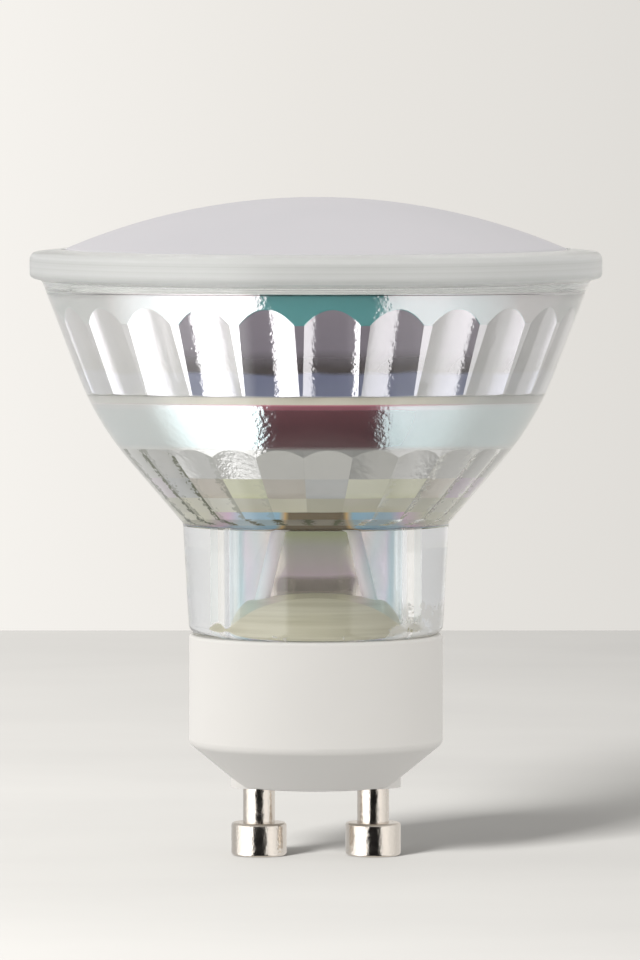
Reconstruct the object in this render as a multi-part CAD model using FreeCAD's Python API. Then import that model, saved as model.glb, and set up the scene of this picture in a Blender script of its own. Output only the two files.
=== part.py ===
import FreeCAD
import Part
import math
import os

# Driving sizes in millimetres
pin_spacing = 10.0
pin_head_diameter = 4.85
pin_head_height = 2.9
pin_head_round = 0.28
pin_shank_diameter = 2.8
pin_length = 6.0
pin_collar_width = 0.4
pin_collar_height = 0.6
pin_tail_diameter = 1.8
pin_tail_rise = 1.3

land_height = 0.15
base_diameter = 22.2
base_height = 13.45
base_foot_margin = 0.15
base_bevel_height = 3.73
base_edge_round = 0.3
base_wall = 1.7
base_floor = 1.75
board_step = 0.8
board_seat_rise = 4.75

neck_bottom_diameter = 22.2
neck_top_diameter = 23.3
neck_height = 9.75
neck_foot_round = 0.9
slot_width = 12.0
slot_depth = 5.4
slot_round = 1.4
sink_diameter = 15.2
sink_height = 4.05
cement_depth = 1.85

cup_height = 21.2
cup_bend_height = 8.8
cup_bend_diameter = 38.4
cup_bend_round = 26.0
cup_top_diameter = 47.9
cup_wall = 2.35
rim_diameter = 50.0
rim_height = 2.75
rim_slope = 0.3
rim_top_round = 0.7
rim_under_round = 0.45
recess_wall = 2.8

flute_count = 24
flute_phase = 3.75
flute_radius = 12.0
flute_arch_drop = 1.2
flute_valley_depth = 0.38
band_draft = 0.15
ledge_drop = 0.4
floor_rise = 1.5
ring_top_share = 0.549
ring_bottom_share = 0.513
facet_share_high = 0.181
facet_share_low = 0.093
facet_slope = 0.82
smooth_slope_high = 0.445
smooth_slope_low = 0.632
smooth_bend_drop = 2.5
smooth_round = 30.0

cover_rise = 4.5
cover_wall = 1.5
cover_shoulder = 0.4
seal_width = 0.3
seal_height = 1.4

led_board_thickness = 1.0
led_board_clearance = 0.2
led_count = 8
led_ring_share = 0.6
led_length = 3.5
led_width = 2.8
led_height = 0.75

driver_board_thickness = 1.0
driver_board_clearance = 0.1
wire_diameter = 0.8
wire_low_spread = 6.2
wire_high_spread = 3.5
wire_pad_reach = 3.4
lead_diameter = 0.8

capacitor_diameter = 6.3
capacitor_height = 5.0
choke_diameter = 5.8
choke_height = 4.6
chip_length = 4.9
chip_width = 3.5
chip_height = 1.5
bridge_length = 4.7
bridge_width = 3.3
bridge_height = 1.8
fuse_length = 4.8
fuse_diameter = 2.0

# Heights that follow from the driving sizes
z_base = pin_length + land_height
z_floor = z_base + base_floor
z_seat = z_base + board_seat_rise
z_base_top = pin_length + base_height
z_neck_top = z_base_top + neck_height
z_bend = z_neck_top + cup_bend_height
z_rim = z_neck_top + cup_height
z_rim_top = z_rim + rim_height
z_ledge = z_rim - ledge_drop
z_cup_floor = z_neck_top + floor_rise
z_board_top = z_ledge + led_board_thickness
z_driver_top = z_seat + driver_board_thickness

# Radii that follow from the driving sizes
base_radius = base_diameter / 2
base_bore = base_radius - base_wall
rim_radius = rim_diameter / 2
recess_radius = rim_radius - recess_wall
cover_radius = recess_radius - seal_width
wire_radius = wire_diameter / 2
pin_x = pin_spacing / 2


def vec(x, y, z):
    return FreeCAD.Vector(x, y, z)


def rounded_edges(corners, closed):
    """Straight edges through the corners (point, rounding), joined by tangent arcs."""
    edges = []
    last = None
    first = None
    count = len(corners)
    for i, (here, rounding) in enumerate(corners):
        ends = not closed and i in (0, count - 1)
        if rounding and not ends:
            back = (corners[i - 1][0] - here).normalize()
            ahead = (corners[(i + 1) % count][0] - here).normalize()
            half = back.getAngle(ahead) / 2
            reach = rounding / math.tan(half)
            middle = (back + ahead).normalize()
            start = here + back * reach
            finish = here + ahead * reach
            top = here + middle * (rounding / math.sin(half) - rounding)
            arc = Part.Arc(start, top, finish).toShape()
        else:
            start = here
            finish = here
            arc = None
        if last is None:
            first = start
        else:
            edges.append(Part.LineSegment(last, start).toShape())
        if arc is not None:
            edges.append(arc)
        last = finish
    if closed:
        edges.append(Part.LineSegment(last, first).toShape())
    return edges


def turned(*corners):
    """Solid of revolution about Z from (radius, height) or (radius, height, rounding) corners."""
    path = []
    for corner in corners:
        rounding = corner[2] if len(corner) > 2 else 0
        path.append((vec(corner[0], 0, corner[1]), rounding))
    face = Part.Face(Part.Wire(rounded_edges(path, True)))
    return face.revolve(vec(0, 0, 0), vec(0, 0, 1), 360)


def tube(points, bends, radius):
    """Round wire along straight runs that are joined by tangent arcs."""
    path = list(zip(points, bends))
    spine = Part.Wire(rounded_edges(path, False))
    start = points[0]
    section = Part.Wire(Part.Circle(start, points[1] - start, radius).toShape())
    return spine.makePipeShell([section], True, False)


def bar(length, width, rounding, low, high):
    """Upright bar with rounded corners, centred on the Z axis."""
    x = length / 2
    y = width / 2
    path = [
        (vec(x, y, low), rounding),
        (vec(-x, y, low), rounding),
        (vec(-x, -y, low), rounding),
        (vec(x, -y, low), rounding),
    ]
    face = Part.Face(Part.Wire(rounded_edges(path, True)))
    return face.extrude(vec(0, 0, high - low))


def block(length, width, height, x, y, z):
    return Part.makeBox(length, width, height, vec(x - length / 2, y - width / 2, z))


def turn_about_z(shape, degrees):
    copy = shape.copy()
    copy.rotate(vec(0, 0, 0), vec(0, 0, 1), degrees)
    return copy


def many_sided(levels):
    """Flat-sided tapering solid through (distance of the flats, height) levels."""
    step = 2 * math.pi / flute_count
    start = math.radians(flute_phase - 90) - step / 2
    rings = []
    for flat, height in levels:
        reach = flat / math.cos(step / 2)
        ring = []
        for k in range(flute_count):
            angle = start + k * step
            ring.append(vec(reach * math.cos(angle), reach * math.sin(angle), height))
        rings.append(ring)
    faces = []
    for low, high in zip(rings, rings[1:]):
        for k in range(flute_count):
            after = (k + 1) % flute_count
            loop = [low[k], low[after], high[after], high[k], low[k]]
            faces.append(Part.Face(Part.makePolygon(loop)))
    for ring in (rings[0], rings[-1]):
        faces.append(Part.Face(Part.makePolygon(ring + ring[:1])))
    return Part.makeSolid(Part.makeShell(faces))


def outer_radius(height):
    """Radius of the cup outside, before its bend is rounded."""
    bend = cup_bend_diameter / 2
    if height > z_bend:
        share = (height - z_bend) / (z_rim - z_bend)
        return bend + share * (cup_top_diameter / 2 - bend)
    share = (height - z_neck_top) / (z_bend - z_neck_top)
    return neck_top_diameter / 2 + share * (bend - neck_top_diameter / 2)


pieces = {}

# Glass body, outside with the recess for the board and the cover
glass = turned(
    (0, z_base_top),
    (neck_bottom_diameter / 2, z_base_top, neck_foot_round),
    (neck_top_diameter / 2, z_neck_top, 0.6),
    (cup_bend_diameter / 2, z_bend, cup_bend_round),
    (cup_top_diameter / 2, z_rim, 0.35),
    (rim_radius, z_rim + 0.3, rim_under_round),
    (rim_radius, z_rim_top - rim_slope, rim_top_round),
    (recess_radius, z_rim_top, 0.12),
    (recess_radius, z_ledge),
    (0, z_ledge),
)

# Fluted upper zone, where each rib is a leaning cylinder left standing in the glass,
# with a narrow strip of a cone between one rib and the next
inner_depth = z_ledge - z_cup_floor
z_ring_top = z_cup_floor + ring_top_share * inner_depth
z_ring_bottom = z_cup_floor + ring_bottom_share * inner_depth
z_arch = z_ledge - flute_arch_drop
band_top = outer_radius(z_ledge) - cup_wall
band_at_arch = band_top - band_draft * flute_arch_drop
band_at_ring = band_top - band_draft * (z_ledge - z_ring_top)
rib_foot = outer_radius(z_ring_top) - cup_wall
lean = math.atan2(band_at_arch - rib_foot, z_arch - z_ring_top)
run = vec(math.sin(lean), 0, math.cos(lean))
out = vec(math.cos(lean), 0, -math.sin(lean))
rib_start = vec(rib_foot, 0, z_ring_top) + out * flute_radius - run * 2 * flute_radius
rib = Part.makeCylinder(flute_radius, 5 * flute_radius, rib_start, run)
valley_foot = rib_foot + flute_valley_depth
valley_top = valley_foot + (z_ledge - z_ring_top) * math.tan(lean)
ribs = []
for k in range(flute_count):
    ribs.append(turn_about_z(rib, flute_phase - 90 + k * 360 / flute_count))
upper_hollow = turned(
    (0, z_ring_top),
    (band_at_ring, z_ring_top),
    (band_top, z_ledge),
    (0, z_ledge),
)
valley_cone = turned(
    (0, z_ring_top),
    (valley_foot, z_ring_top),
    (valley_top, z_ledge),
    (0, z_ledge),
)
upper_hollow = upper_hollow.common(valley_cone).cut(ribs)

# Smooth lower zone that breaks into three rows of flat facets
ring_radius = outer_radius(z_ring_bottom) - cup_wall
z_high = z_cup_floor + facet_share_high * inner_depth
z_low = z_cup_floor + facet_share_low * inner_depth
flat_high = outer_radius(z_high) - cup_wall + 0.2
flat_low = outer_radius(z_low) - cup_wall + 0.05
flat_floor = outer_radius(z_cup_floor) - cup_wall - 0.5
flat_ring = flat_high + facet_slope * (z_ring_bottom - z_high)
z_smooth_bend = z_ring_bottom - smooth_bend_drop
smooth_bend = ring_radius - smooth_slope_high * smooth_bend_drop
smooth_floor = smooth_bend - smooth_slope_low * (z_smooth_bend - z_cup_floor)
facets = many_sided(
    [
        (flat_floor, z_cup_floor),
        (flat_low, z_low),
        (flat_high, z_high),
        (flat_ring, z_ring_bottom),
    ]
)
lower_hollow = turned(
    (0, z_cup_floor),
    (smooth_floor, z_cup_floor),
    (smooth_bend, z_smooth_bend, smooth_round),
    (ring_radius, z_ring_bottom),
    (0, z_ring_bottom),
).common(facets)
ring_hollow = turned(
    (0, z_ring_bottom),
    (ring_radius, z_ring_bottom),
    (ring_radius, z_ring_top),
    (0, z_ring_top),
)

# Slot through the neck with a countersink at its foot
slot = bar(slot_width, slot_depth, slot_round, z_base_top, z_cup_floor)
sink_radius = sink_diameter / 2
sink_top_radius = slot_depth / 2
z_sink_top = z_base_top + sink_height
sink = turned(
    (0, z_base_top),
    (sink_radius, z_base_top),
    (sink_top_radius, z_sink_top),
    (0, z_sink_top),
)
pieces["glass_body"] = glass.cut([upper_hollow, ring_hollow, lower_hollow, slot, sink])

# Pins, moulded into the base floor by a collar, with a socket for the lead
head_radius = pin_head_diameter / 2
shank_radius = pin_shank_diameter / 2
tail_radius = pin_tail_diameter / 2
lead_radius = lead_diameter / 2
z_collar = z_base + (base_floor - pin_collar_height) / 2
z_tail = z_floor + pin_tail_rise
z_socket = z_floor
pin = turned(
    (0, 0),
    (head_radius, 0, pin_head_round),
    (head_radius, pin_head_height, pin_head_round),
    (shank_radius, pin_head_height),
    (shank_radius, z_collar),
    (shank_radius + pin_collar_width, z_collar),
    (shank_radius + pin_collar_width, z_collar + pin_collar_height),
    (shank_radius, z_collar + pin_collar_height),
    (shank_radius, z_floor),
    (tail_radius, z_floor),
    (tail_radius, z_tail),
    (lead_radius, z_tail),
    (lead_radius, z_socket),
    (0, z_socket),
)
sides = (("left", -1), ("right", 1))
for name, side in sides:
    placed = pin.copy()
    placed.translate(vec(side * pin_x, 0, 0))
    pieces["contact_pin_" + name] = placed

# Base cap with the raised land that joins the two pin holes
bevel_foot = pin_x + shank_radius + base_foot_margin
seat_radius = base_bore - board_step
bevel_run = (base_radius - bevel_foot) / base_bevel_height
bevel_gap = base_wall * math.hypot(1, bevel_run)
floor_radius = bevel_foot + base_floor * bevel_run - bevel_gap
z_inner_bevel = z_floor + (seat_radius - floor_radius) / bevel_run
land_length = pin_spacing + pin_head_diameter
land = bar(land_length, pin_head_diameter, head_radius - 0.01, pin_length, z_floor)
base = turned(
    (0, z_base),
    (bevel_foot, z_base, 0.5),
    (base_radius, z_base + base_bevel_height, 0.8),
    (base_radius, z_base_top, base_edge_round),
    (base_bore, z_base_top),
    (base_bore, z_seat),
    (seat_radius, z_seat),
    (seat_radius, z_inner_bevel),
    (floor_radius, z_floor),
    (0, z_floor),
)
pins = [pieces["contact_pin_left"], pieces["contact_pin_right"]]
pieces["base_cap"] = base.fuse(land).removeSplitter().cut(pins)

# Input leads that stand in the pin sockets and pass the driver board
z_lead_top = z_driver_top + 0.6
for name, side in sides:
    foot = vec(side * pin_x, 0, z_socket)
    lead = Part.makeCylinder(lead_radius, z_lead_top - z_socket, foot, vec(0, 0, 1))
    pieces["input_lead_" + name] = lead
leads = [pieces["input_lead_left"], pieces["input_lead_right"]]

# Driver board on the step of the base
driver_radius = base_bore - driver_board_clearance
driver = Part.makeCylinder(driver_radius, driver_board_thickness, vec(0, 0, z_seat))
pieces["driver_board"] = driver.cut(leads)

# Lead wires from the driver board up the neck and through the light board
z_wire_bend = z_sink_top - 1.4
z_wire_high = z_cup_floor + 0.5
z_pad = z_board_top + wire_radius
low_x = wire_low_spread / 2
high_x = wire_high_spread / 2
for name, side in sides:
    route = [
        vec(side * low_x, 0, z_driver_top),
        vec(side * low_x, 0, z_wire_bend),
        vec(side * high_x, 0, z_wire_high),
        vec(side * high_x, 0, z_pad),
        vec(side * (high_x + wire_pad_reach), 0, z_pad),
    ]
    bends = [0, 5, 5, 2 * wire_radius, 0]
    pieces["lead_wire_" + name] = tube(route, bends, wire_radius)
wires = [pieces["lead_wire_left"], pieces["lead_wire_right"]]

# Cement in the mouth of the base and in the countersink
cement = turned(
    (0, z_base_top - cement_depth),
    (base_bore, z_base_top - cement_depth),
    (base_bore, z_base_top),
    (sink_radius, z_base_top),
    (sink_top_radius, z_sink_top),
    (0, z_sink_top),
)
pieces["base_cement"] = cement.cut(wires)

# Driver parts, one in each quarter of the board and one along its front edge
quarter = 0.43 * driver_radius
capacitor_radius = capacitor_diameter / 2
capacitor = turned(
    (0, z_driver_top),
    (capacitor_radius, z_driver_top, 0.3),
    (capacitor_radius, z_driver_top + 0.9, 0.1),
    (capacitor_radius - 0.25, z_driver_top + 1.2, 0.1),
    (capacitor_radius, z_driver_top + 1.5, 0.1),
    (capacitor_radius, z_driver_top + capacitor_height, 0.3),
    (0, z_driver_top + capacitor_height),
)
capacitor.translate(vec(-quarter, quarter, 0))
pieces["smoothing_capacitor"] = capacitor
choke_radius = choke_diameter / 2
choke_cheek = choke_height / 6
choke = turned(
    (0, z_driver_top),
    (choke_radius, z_driver_top, 0.15),
    (choke_radius, z_driver_top + choke_cheek, 0.15),
    (choke_radius - 0.5, z_driver_top + choke_cheek),
    (choke_radius - 0.5, z_driver_top + choke_height - choke_cheek),
    (choke_radius, z_driver_top + choke_height - choke_cheek, 0.15),
    (choke_radius, z_driver_top + choke_height, 0.15),
    (0, z_driver_top + choke_height),
)
choke.translate(vec(quarter, quarter, 0))
pieces["choke"] = choke


def chip_package(length, width, height, x, y, legs):
    """Moulded package on bent legs along its two long sides."""
    stand = 0.15
    leg = 0.2
    foot = 0.55
    body = block(length, width, height - stand, x, y, z_driver_top + stand)
    knee = z_driver_top + height / 2
    parts = []
    for side in (-1, 1):
        for k in range(legs):
            leg_x = x + (k - (legs - 1) / 2) * length / legs
            edge = y + side * width / 2
            drop = edge + side * (foot - leg / 2)
            parts.append(block(0.4, foot, leg, leg_x, edge + side * foot / 2, knee))
            parts.append(block(0.4, leg, knee - z_driver_top, leg_x, drop, z_driver_top))
    return body.fuse(parts).removeSplitter()


pieces["bridge_rectifier"] = chip_package(
    bridge_length, bridge_width, bridge_height, -quarter, -quarter, 2
)
pieces["driver_chip"] = chip_package(
    chip_length, chip_width, chip_height, quarter, -quarter, 4
)
fuse_radius = fuse_diameter / 2
fuse_y = -0.8 * driver_radius
fuse_z = z_driver_top + fuse_radius
fuse_half = fuse_length / 2
fuse_body = Part.makeCylinder(
    fuse_radius, fuse_length, vec(-fuse_half, fuse_y, fuse_z), vec(1, 0, 0)
)
fuse_leg = fuse_half + 0.9
fuse_route = [
    vec(-fuse_leg, fuse_y, z_driver_top),
    vec(-fuse_leg, fuse_y, fuse_z),
    vec(fuse_leg, fuse_y, fuse_z),
    vec(fuse_leg, fuse_y, z_driver_top),
]
fuse_lead = tube(fuse_route, [0, 0.5, 0.5, 0], 0.25)
pieces["fuse_resistor"] = fuse_body.fuse(fuse_lead).removeSplitter()

# Light board on the ledge, with a hole for the two wires
led_board_radius = recess_radius - led_board_clearance
wire_hole = high_x + wire_radius + 0.25
led_board = Part.makeCylinder(led_board_radius, led_board_thickness, vec(0, 0, z_ledge))
led_board = led_board.cut(
    Part.makeCylinder(wire_hole, 3 * led_board_thickness, vec(0, 0, z_ledge - 1))
)
pieces["led_board"] = led_board

# Light packages in a ring, each with a shallow round pool
led_ring = led_ring_share * led_board_radius
pool_top = led_width / 2 - 0.3
pool_depth = led_height / 3
led = block(led_width, led_length, led_height, led_ring, 0, z_board_top)
pool = Part.makeCone(
    pool_top - 0.2,
    pool_top,
    pool_depth,
    vec(led_ring, 0, z_board_top + led_height - pool_depth),
)
led = led.cut(pool)
for k in range(led_count):
    pieces["led_%d" % (k + 1)] = turn_about_z(led, (k + 0.5) * 360 / led_count)

# Opal cover, a domed cap with a short skirt that stands on the light board
z_crown = z_rim_top + cover_rise
dome_radius = (cover_radius**2 + cover_rise**2) / (2 * cover_rise)
dome_centre = vec(0, 0, z_crown - dome_radius)
skirt = Part.makeCylinder(cover_radius, z_crown - z_board_top, vec(0, 0, z_board_top))
dome = skirt.common(Part.makeSphere(dome_radius, dome_centre, vec(0, 0, 1), -90, 90, 360))
shoulder = []
for edge in dome.Edges:
    box = edge.BoundBox
    if box.ZMin > z_rim_top - 0.2 and box.ZLength < 0.01:
        shoulder.append(edge)
dome = dome.makeFillet(cover_shoulder, shoulder)
bore = Part.makeCylinder(
    cover_radius - cover_wall, z_crown - z_board_top, vec(0, 0, z_board_top)
)
core = bore.common(
    Part.makeSphere(dome_radius - cover_wall, dome_centre, vec(0, 0, 1), -90, 90, 360)
)
pieces["diffuser_cover"] = dome.cut(core)

# Silicone bead between the cover and the glass
z_seal_top = z_rim_top - cover_shoulder - 0.1
pieces["cover_seal"] = turned(
    (cover_radius, z_seal_top - seal_height),
    (recess_radius, z_seal_top - seal_height),
    (recess_radius, z_seal_top),
    (cover_radius, z_seal_top),
)

os.makedirs("parts", exist_ok=True)
for name, shape in pieces.items():
    shape.exportStep("parts/" + name + ".step")
    print(name, "volume", round(shape.Volume, 2), "valid", shape.isValid())
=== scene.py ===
# %% [markdown]
# A reflector spotlight bulb, dressed on its CAD frame
#
# The CAD model already holds every solid piece at its true size: the pressed-glass
# cup, the opal cover, the base, the pins and what is hidden inside. This lesson gives
# those pieces their finishes, adds the small things that only show close up, and sets
# up the light that a mirror-coated glass needs to look like one.

# %% Load the frame
import bpy
import math
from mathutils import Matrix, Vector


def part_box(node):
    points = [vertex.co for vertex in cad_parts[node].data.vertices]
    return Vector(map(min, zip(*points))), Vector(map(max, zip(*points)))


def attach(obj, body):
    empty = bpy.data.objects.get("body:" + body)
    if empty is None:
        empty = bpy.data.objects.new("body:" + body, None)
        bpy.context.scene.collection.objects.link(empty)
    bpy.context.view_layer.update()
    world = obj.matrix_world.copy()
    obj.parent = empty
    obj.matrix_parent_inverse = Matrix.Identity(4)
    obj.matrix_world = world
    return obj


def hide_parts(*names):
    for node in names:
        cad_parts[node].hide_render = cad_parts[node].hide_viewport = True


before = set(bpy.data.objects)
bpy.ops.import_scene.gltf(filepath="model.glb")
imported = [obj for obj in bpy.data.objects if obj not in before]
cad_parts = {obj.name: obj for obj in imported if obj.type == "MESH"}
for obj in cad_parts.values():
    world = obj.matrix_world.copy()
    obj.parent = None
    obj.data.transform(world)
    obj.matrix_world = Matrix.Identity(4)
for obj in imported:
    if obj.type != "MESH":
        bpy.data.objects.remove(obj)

scene = bpy.context.scene
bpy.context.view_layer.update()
MM = 0.001

# %% [markdown]
# The camera
#
# The bulb is seen from slightly above and from far away, so its upright lines stay nearly
# parallel. A long lens at about 0.7 m gives that. The tilt is small, and the aim was found
# by laying the rim, the cover and the pins over their places in the picture.

# %% Camera
PICTURE_HEIGHT = 960
FOCAL_PIXELS = 7900
CAMERA_TILT = 3.06
SENSOR_HEIGHT = 36
CAMERA_PLACE = (0.35 * MM, -690 * MM, 69.8 * MM)
bpy.ops.object.camera_add(
    location=CAMERA_PLACE,
    rotation=(math.radians(90 - CAMERA_TILT), 0, 0),
)
camera = bpy.context.object
camera.name = "camera"
camera.data.sensor_fit = "VERTICAL"
camera.data.sensor_height = SENSOR_HEIGHT
camera.data.lens = FOCAL_PIXELS / PICTURE_HEIGHT * SENSOR_HEIGHT
camera.data.clip_end = 20
scene.camera = camera
print("camera lens", round(camera.data.lens, 1), "mm")

# %% [markdown]
# Helpers for finishes
#
# Every finish below is a small tree of nodes. Such a tree can be drawn by hand in the shader
# editor, but one that is written out can be run again and changed in one place. A few
# helpers keep the trees readable. The first ones start a finish, add a node and end a finish.


# %% Node helpers
def new_finish(name):
    finish = bpy.data.materials.new(name)
    finish.use_nodes = True
    finish.node_tree.nodes.clear()
    return finish, finish.node_tree


def add_node(tree, kind, settings=None, **inputs):
    """Add a shader node and set or link its inputs, by name or by number as in i0."""
    node = tree.nodes.new("ShaderNode" + kind)
    for key, value in (settings or {}).items():
        setattr(node, key, value)
    for key, value in inputs.items():
        numbered = key[0] == "i" and key[1:].isdigit()
        socket = node.inputs[int(key[1:]) if numbered else key.replace("_", " ")]
        if isinstance(value, bpy.types.NodeSocket):
            tree.links.new(value, socket)
        else:
            socket.default_value = value
    return node


def mix_shaders(tree, share, first, second):
    return add_node(tree, "MixShader", i0=share, i1=first.outputs[0], i2=second.outputs[0])


def finish_with(tree, shader):
    add_node(tree, "OutputMaterial", Surface=shader.outputs[0])


print("node helpers ready")

# %% [markdown]
# Helpers for sums and patterns
#
# The next helpers do the sums that say where a colour goes, and give the noise, the ramps
# and the fine bumps that no real surface is without. All patterns below read Object
# coordinates, so they stay on the piece when it is moved or seen from another side.


# %% Sums and patterns
def maths(tree, operation, first, second=0.0, third=0.0):
    node = add_node(tree, "Math", {"operation": operation}, i0=first, i1=second, i2=third)
    return node.outputs[0]


def all_of(tree, *shares):
    """Product of several shares, which is 1 only where all of them are."""
    product = shares[0]
    for share in shares[1:]:
        product = maths(tree, "MULTIPLY", product, share)
    return product


def share_of(tree, value, low, high):
    """How far a value has come from low to high, from 0 to 1."""
    return add_node(tree, "MapRange", Value=value, From_Min=low, From_Max=high).outputs[0]


def blend(tree, share, first, second):
    node = add_node(tree, "Mix", {"data_type": "RGBA"}, i0=share, i6=first, i7=second)
    return node.outputs[2]


def noise(tree, place, scale, detail, roughness=0.5):
    node = add_node(tree, "TexNoise", Vector=place, Scale=scale, Detail=detail, Roughness=roughness)
    return node.outputs["Fac"]


def bumped(tree, height, strength, distance):
    node = add_node(tree, "Bump", Strength=strength, Distance=distance, Height=height)
    return node.outputs[0]


def add_ramp(tree, value, stops, style="LINEAR"):
    """A ramp of colours from a list of (place, colour) stops."""
    ramp = add_node(tree, "ValToRGB", Fac=value)
    ramp.color_ramp.interpolation = style
    elements = ramp.color_ramp.elements
    while len(elements) < len(stops):
        elements.new(0.5)
    for element, (place, colour) in zip(elements, stops):
        element.position = place
        element.color = (*colour, 1)
    return ramp.outputs["Color"]


def grey(level):
    return (level, level, level)


print("sums and patterns ready")

# %% [markdown]
# The floor
#
# The bulb stands on a plain pale table that ends a little behind it. A plane with a matte
# finish is enough. Its colour is painted slightly darker to the right, a painted shade for
# the light falling off, and it is kept out of mirrors and glass, where its edge would show
# as a hard line.

# %% Floor
FLOOR_BACK = 272 * MM
FLOOR_STRETCH = 1.6
FLOOR_SINK = 0.02 * MM
bpy.ops.mesh.primitive_plane_add(size=2)
floor = bpy.context.object
floor.name = "floor"
floor.scale = (FLOOR_STRETCH, 1.0, 1)
floor.location = (0, FLOOR_BACK - 1.0, -FLOOR_SINK)
floor.visible_glossy = False
floor.visible_transmission = False
floor.visible_diffuse = False
finish, tree = new_finish("pale_table")
place = add_node(tree, "TexCoord").outputs["Object"]
mottle = noise(tree, place, 30.0, 3.0)
sideways = add_node(tree, "SeparateXYZ", Vector=place).outputs["X"]
tone = maths(tree, "MULTIPLY_ADD", mottle, 0.04, sideways)
# painted shade: the table's colour is lighter to the left and darker to the right
paper_with_painted_shade = add_ramp(
    tree,
    share_of(tree, tone, -0.03, 0.05),
    [(0.0, (0.365, 0.356, 0.340)), (1.0, (0.268, 0.262, 0.251))],
)
shader = add_node(tree, "BsdfPrincipled", Base_Color=paper_with_painted_shade, Roughness=0.8)
finish_with(tree, shader)
floor.data.materials.append(finish)
print("floor ends", FLOOR_BACK, "m behind the bulb")

# %% [markdown]
# What the mirror shows
#
# A mirror film has hardly any colour of its own, so what stands round the bulb makes its
# look. White screens could be set up one by one, but a cup that mirrors all sides would show
# every edge of them. The surroundings are painted on the sky instead, by direction: bright
# strips to the left and right, dark in front, a pale wall behind and a plain ceiling.

# %% Surroundings in mirrors
world = bpy.data.worlds.new("studio")
scene.world = world
world.use_nodes = True
tree = world.node_tree
tree.nodes.clear()
way = add_node(tree, "TexCoord").outputs["Generated"]
way_x, way_y, way_z = add_node(tree, "SeparateXYZ", Vector=way).outputs
left_to_right = share_of(tree, way_x, -1.0, 1.0)
strips = add_ramp(
    tree,
    left_to_right,
    [
        (0.00, grey(1.60)),
        (0.06, grey(2.40)),
        (0.27, grey(2.60)),
        (0.30, grey(0.012)),
        (0.74, grey(0.012)),
        (0.77, grey(1.22)),
        (0.92, grey(1.30)),
        (1.00, grey(1.00)),
    ],
)
WALL_TONE = (0.80, 0.775, 0.735)
CEILING_TONE = (0.62, 0.61, 0.60, 1)
NADIR_TONE = (0.62, 0.61, 0.57, 1)
back_wall = add_ramp(
    tree,
    left_to_right,
    [
        (0.10, grey(0.62)),
        (0.32, grey(0.66)),
        (0.48, WALL_TONE),
        (0.60, WALL_TONE),
        (0.90, grey(0.82)),
    ],
)
behind = blend(tree, share_of(tree, way_y, 0.0, 0.35), strips, back_wall)
ceiling = blend(tree, share_of(tree, way_z, 0.25, 0.6), behind, CEILING_TONE)
round_about = blend(tree, share_of(tree, way_z, -0.89, -0.94), ceiling, NADIR_TONE)
studio = add_node(tree, "Background", Color=round_about, Strength=1.0)
print("surroundings in mirrors ready")

# %% [markdown]
# Soft light and the wall
#
# The strips suit mirrors, but they would light the white base and the cover in hard steps.
# Light that a matte face scatters comes from a softer sky: stronger from the left, even from
# above and weak from below. The camera sees a third sky, a plain wall whose colour is painted
# darker to the right as painted shade. The light path tells the three apart.

# %% Soft light and wall
HIGH_TONE = (0.98, 0.97, 0.96, 1)
LOW_TONE = (0.57, 0.565, 0.555, 1)
side_fill = add_ramp(
    tree,
    left_to_right,
    [(0.0, (2.15, 2.12, 2.08)), (0.5, (1.09, 1.08, 1.06)), (1.0, (0.68, 0.67, 0.65))],
)
lower_fill = blend(tree, share_of(tree, way_z, -0.05, -0.3), side_fill, LOW_TONE)
fill_colour = blend(tree, share_of(tree, way_z, 0.25, 0.7), lower_fill, HIGH_TONE)
fill = add_node(tree, "Background", Color=fill_colour, Strength=1.0)
WALL_SPREAD = 0.042
# painted shade: the wall that the camera sees is darker to the right
wall_painted_shade = add_ramp(
    tree,
    share_of(tree, way_x, -WALL_SPREAD, WALL_SPREAD),
    [(0.0, (0.92, 0.895, 0.855)), (0.5, (0.82, 0.795, 0.755)), (1.0, (0.745, 0.725, 0.69))],
)
wall = add_node(tree, "Background", Color=wall_painted_shade, Strength=1.0)
ray = add_node(tree, "LightPath").outputs
scattered = maths(tree, "GREATER_THAN", ray["Diffuse Depth"], 0.5)
matte = mix_shaders(tree, scattered, studio, fill)
all_three = mix_shaders(tree, ray["Is Camera Ray"], matte, wall)
add_node(tree, "OutputWorld", Surface=all_three.outputs[0])
print("soft light and wall ready")

# %% [markdown]
# The floor lamp
#
# The table has a lamp of its own, in front and to the left, so that the bulb throws one
# long soft shadow to the back. A screen keeps that lamp off the bulb itself, where it would
# burn out the white base. Light linking does the work of the screen: the lamp lights the
# floor alone, and the bulb still stands in its way.

# %% Floor lamp
LAMP_AWAY = 1.5
LAMP_TURN = math.radians(33)
LAMP_RISE = math.radians(25)
LAMP_SIZE = 0.40
LAMP_POWER = 92.0
bpy.ops.object.light_add(
    type="AREA",
    location=(
        -LAMP_AWAY * math.cos(LAMP_RISE) * math.sin(LAMP_TURN),
        -LAMP_AWAY * math.cos(LAMP_RISE) * math.cos(LAMP_TURN),
        LAMP_AWAY * math.sin(LAMP_RISE),
    ),
    rotation=(math.pi / 2 - LAMP_RISE, 0, -LAMP_TURN),
)
floor_lamp = bpy.context.object
floor_lamp.name = "floor_lamp"
floor_lamp.data.size = LAMP_SIZE
floor_lamp.data.energy = LAMP_POWER
floor_lamp.visible_glossy = False
floor_lamp.visible_transmission = False
lit_floor = bpy.data.collections.new("lit_floor")
lit_floor.objects.link(floor)
floor_lamp.light_linking.receiver_collection = lit_floor
scene.view_settings.view_transform = "Standard"
scene.view_settings.look = "None"
print("floor lamp", LAMP_AWAY, "m away")

# %% [markdown]
# Turning a profile
#
# Most of this bulb is round, and a round piece is turned: its half profile is drawn point
# by point and spun about the axis. The CAD mesh of the glass is fine for size and fit, but
# glass shows every flat of a coarse mesh as a streak, so the glass is turned again here
# with many more steps. Corners are rounded in small steps of three degrees.


# %% Profile and lathe
MERGE_DISTANCE = 0.0005 * MM


def clear_selection():
    bpy.ops.object.select_all(action="DESELECT")


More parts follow.
